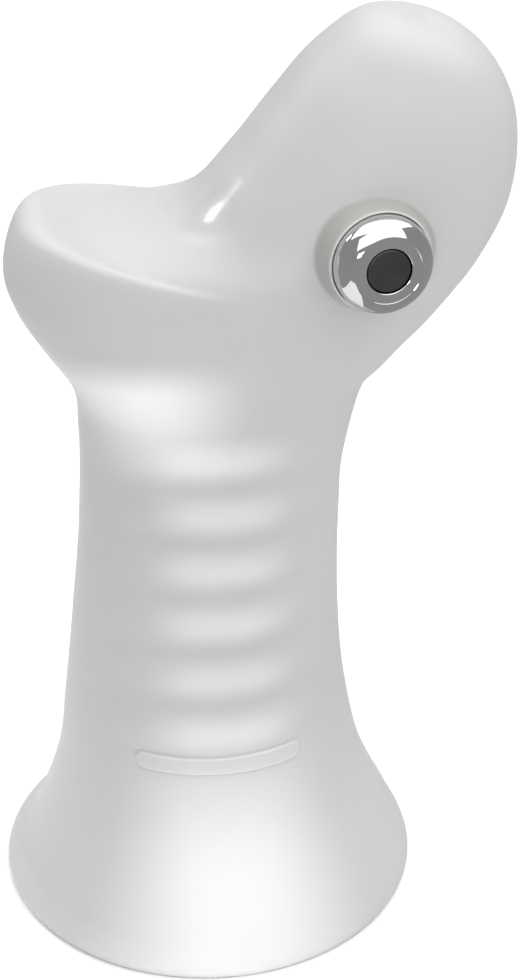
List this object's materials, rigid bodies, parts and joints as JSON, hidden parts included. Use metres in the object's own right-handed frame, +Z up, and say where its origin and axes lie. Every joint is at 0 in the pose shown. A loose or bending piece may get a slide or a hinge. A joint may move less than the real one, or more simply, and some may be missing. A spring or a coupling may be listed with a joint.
{
  "type": "hand-held massager",
  "caption": "Soft translucent hand-held massager with a round foot, ribbed grip, saddle-shaped head and a removable chrome drive unit.",
  "frame": {"origin": "centre of the flat underside of the foot", "axes": "+Z up from the foot to the crown, -Y the front with the ribs and the drive unit, +X towards the taller lobe"},
  "size_m": [0.099, 0.0846, 0.1814],
  "materials": {
    "soft_clear": "milky translucent elastomer, satin",
    "chrome_shell": "mirror polished",
    "black_plastic": "fine satin",
    "seal_rubber": "smooth",
    "white_plastic": "moulded",
    "board_green": "solder mask",
    "cell_steel": "brushed",
    "motor_steel": "drawn",
    "contact_brass": "plain",
    "magnet_dark": "sintered",
    "tungsten": "sintered",
    "wire_red": "extruded"
  },
  "bodies": {
    "body": {"soft_body": "soft_clear"},
    "bullet": {"bullet_case": "chrome_shell", "battery_cell_1": "cell_steel", "battery_cell_2": "cell_steel", "battery_cell_3": "cell_steel", "battery_sleeve": "white_plastic", "contact_plate": "contact_brass", "ground_strip": "contact_brass", "motor_cradle": "white_plastic", "motor_can": "motor_steel", "magnet_ring": "magnet_dark", "motor_bushing": "contact_brass", "motor_end_bell": "white_plastic", "lead_wire_red": "wire_red", "lead_wire_black": "black_plastic"},
    "rotor": {"rotor": "motor_steel", "motor_shaft": "motor_steel", "eccentric_weight": "tungsten"},
    "cap_seal": {"cap_o_ring": "seal_rubber"},
    "cap": {"end_cap": "chrome_shell", "button_retainer": "white_plastic", "switch_board": "board_green", "switch_housing": "black_plastic", "contact_spring": "motor_steel"},
    "button": {"push_button": "black_plastic"},
    "plunger": {"switch_plunger": "white_plastic"}
  },
  "joints": [
    {"name": "bullet_slide", "type": "slide", "parent": "body", "child": "bullet", "axis": [0.1563, -0.9871, 0.0349], "range_m": [0, 0.06]},
    {"name": "rotor_spin", "type": "hinge", "parent": "bullet", "child": "rotor", "pos_m": [0.02294, 0.00541, 0.14446], "axis": [0.1563, -0.9871, 0.0349], "continuous": true},
    {"name": "cap_rise", "type": "slide", "parent": "bullet", "child": "cap_seal", "axis": [0.1563, -0.9871, 0.0349], "range_m": [0, 0.0025]},
    {"name": "cap_turn", "type": "hinge", "parent": "cap_seal", "child": "cap", "pos_m": [0.02638, -0.0163, 0.14523], "axis": [0.1563, -0.9871, 0.0349], "range_deg": [0, 900]},
    {"name": "button_press", "type": "slide", "parent": "cap", "child": "button", "axis": [-0.1563, 0.9871, -0.0349], "range_m": [0, 0.0005], "stiffness_N_per_m": 800},
    {"name": "switch_press", "type": "slide", "parent": "cap", "child": "plunger", "axis": [-0.1563, 0.9871, -0.0349], "range_m": [0, 0.0006]}
  ],
  "couplings": [
    {"joint": "cap_rise", "follows": "cap_turn", "m_per_rad": 0.00015915},
    {"joint": "switch_press", "follows": "button_press", "ratio": 1}
  ]
}
